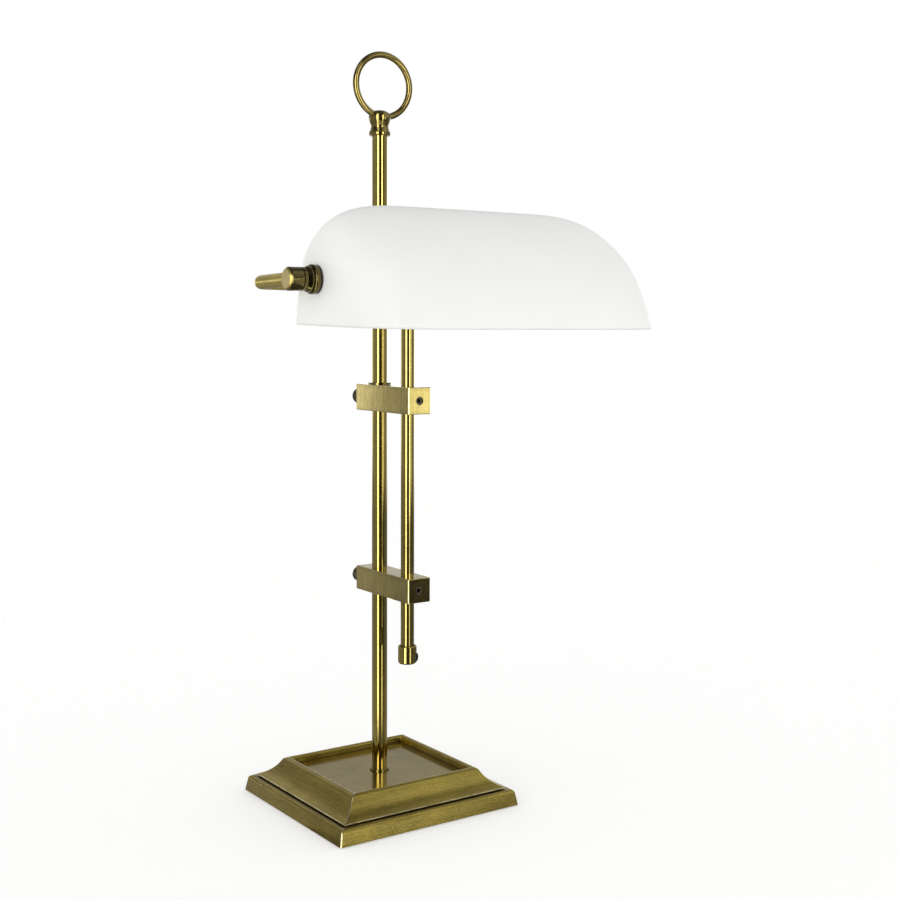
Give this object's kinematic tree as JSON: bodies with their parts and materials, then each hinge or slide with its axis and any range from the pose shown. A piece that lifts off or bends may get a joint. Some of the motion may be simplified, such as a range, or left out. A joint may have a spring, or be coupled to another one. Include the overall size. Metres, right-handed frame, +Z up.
{
  "type": "desk lamp",
  "caption": "Brass desk lamp: square moulded base, column with ring finial, sliding swivelling carriage and second rod, opal glass shade tilting in a fork.",
  "frame": {"origin": "centre of the base's underside, on the table under the column", "axes": "+Z up along the column; the shade is long along X and stands out to -Y, the front"},
  "size_m": [0.2658, 0.2694, 0.5427],
  "materials": {
    "antique_brass": "antique brass, brushed and lacquered",
    "polished_panel": "polished antique brass",
    "dark_brass": "darkened brass",
    "plain_brass": "turned brass",
    "zinc_steel": "zinc plated",
    "black_steel": "blackened steel",
    "black_rubber": "matt",
    "black_plastic": "matt",
    "green_felt": "felt",
    "cast_weight": "as cast",
    "opal_glass": "satin opal white",
    "white_ceramic": "unglazed",
    "frosted_bulb": "frosted"
  },
  "bodies": {
    "lamp_base": {"base_felt": "green_felt", "base_plinth": "antique_brass", "base_moulding": "antique_brass", "base_panel": "polished_panel", "lower_weight": "cast_weight", "upper_weight": "cast_weight", "foot_collar": "antique_brass", "column": "antique_brass", "column_washer": "zinc_steel", "column_locknut": "zinc_steel", "finial_head": "antique_brass", "finial_ring": "antique_brass"},
    "height_ring": {"height_ring": "dark_brass"},
    "carriage": {"upper_block": "antique_brass", "lower_block": "antique_brass", "slide_rod": "antique_brass", "rod_end_cap": "antique_brass", "outlet_bush": "black_plastic", "upper_set_screw": "black_steel", "lower_set_screw": "black_steel", "fork_hub": "antique_brass", "fork_bar_left": "antique_brass", "fork_bar_right": "antique_brass", "fork_elbow_left": "antique_brass", "fork_elbow_right": "antique_brass", "fork_arm_left": "antique_brass", "fork_arm_right": "antique_brass", "knuckle_left": "antique_brass", "knuckle_right": "antique_brass"},
    "upper_thumb_screw": {"upper_thumb_screw": "dark_brass"},
    "lower_thumb_screw": {"lower_thumb_screw": "dark_brass"},
    "shade": {"glass_shade": "opal_glass", "rosette_left": "antique_brass", "rosette_right": "antique_brass", "outer_washer_left": "black_rubber", "outer_washer_right": "black_rubber", "inner_washer_left": "black_rubber", "inner_washer_right": "black_rubber", "steel_washer_left": "zinc_steel", "steel_washer_right": "zinc_steel", "pivot_nut_left": "plain_brass", "pivot_nut_right": "plain_brass", "pivot_pin_left": "plain_brass", "pivot_pin_right": "plain_brass", "lampholder": "plain_brass", "lampholder_core": "white_ceramic", "bulb_cap": "plain_brass", "bulb_glass": "frosted_bulb"}
  },
  "joints": [
    {"name": "height", "type": "slide", "parent": "lamp_base", "child": "height_ring", "axis": [0, 0, 1], "range_m": [-0.08, 0.17]},
    {"name": "swivel", "type": "hinge", "parent": "height_ring", "child": "carriage", "pos_m": [0, 0, 0.2938], "axis": [0, 0, 1], "range_deg": [-175, 175]},
    {"name": "shade_tilt", "type": "hinge", "parent": "carriage", "child": "shade", "pos_m": [0, -0.1138, 0.3742], "axis": [1, 0, 0], "range_deg": [-50, 15]},
    {"name": "upper_thumb", "type": "hinge", "parent": "carriage", "child": "upper_thumb_screw", "pos_m": [0, 0.0183, 0.29375], "axis": [0, 1, 0], "range_deg": [-90, 90]},
    {"name": "lower_thumb", "type": "hinge", "parent": "carriage", "child": "lower_thumb_screw", "pos_m": [0, 0.0183, 0.161], "axis": [0, 1, 0], "range_deg": [-90, 90]}
  ]
}
